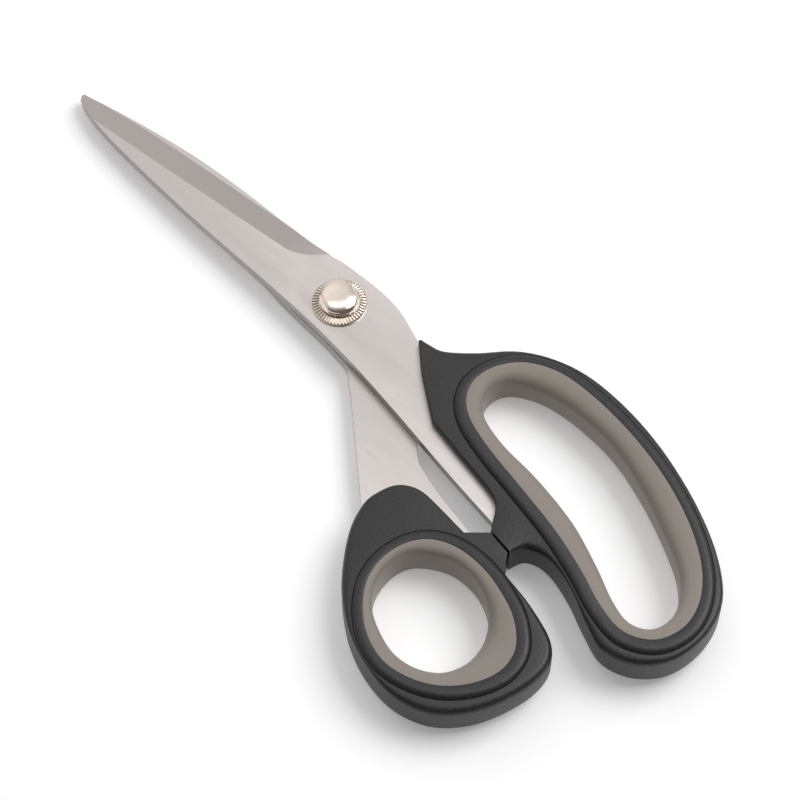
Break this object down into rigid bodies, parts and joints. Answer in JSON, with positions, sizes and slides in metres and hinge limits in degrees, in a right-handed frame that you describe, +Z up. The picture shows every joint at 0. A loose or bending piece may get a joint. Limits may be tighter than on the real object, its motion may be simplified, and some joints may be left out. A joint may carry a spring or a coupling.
{
  "type": "fabric shears",
  "caption": "Right-handed fabric shears with moulded bows, soft bow linings, ground bevels and an adjustable click-ring pivot.",
  "frame": {"origin": "under the middle of the closed pair's box, in the plane of both rims' undersides", "axes": "+X along the blades to the tips, +Y to the thumb bow, +Z up through the pivot, cap nut on top"},
  "size_m": [0.2482, 0.1074, 0.0137],
  "materials": {
    "blade_steel": "fine satin grain across the blade, ground bevel darker",
    "bow_plastic": "fine spark-eroded grain",
    "bow_lining": "smooth soft-touch elastomer, taupe",
    "plated_ring": "polished warm nickel plating",
    "pivot_steel": "turned steel",
    "bearing_plastic": "unfilled acetal"
  },
  "bodies": {
    "rear_half": {"rear_blade": "blade_steel", "thumb_handle": "bow_plastic", "thumb_liner": "bow_lining", "pivot_screw": "pivot_steel", "bearing_washer": "bearing_plastic", "click_ring": "plated_ring", "spring_washer": "pivot_steel"},
    "front_half": {"front_blade": "blade_steel", "finger_handle": "bow_plastic", "finger_liner": "bow_lining"},
    "tension_nut": {"cap_nut": "plated_ring"}
  },
  "joints": [
    {"name": "blade_pivot", "type": "hinge", "parent": "rear_half", "child": "front_half", "pos_m": [0.01825, -0.02377, 0.0065], "axis": [0, 0, 1], "range_deg": [0, 70]},
    {"name": "tension_turn", "type": "hinge", "parent": "rear_half", "child": "tension_nut", "pos_m": [0.01825, -0.02377, 0.012], "axis": [0, 0, 1], "continuous": true}
  ]
}
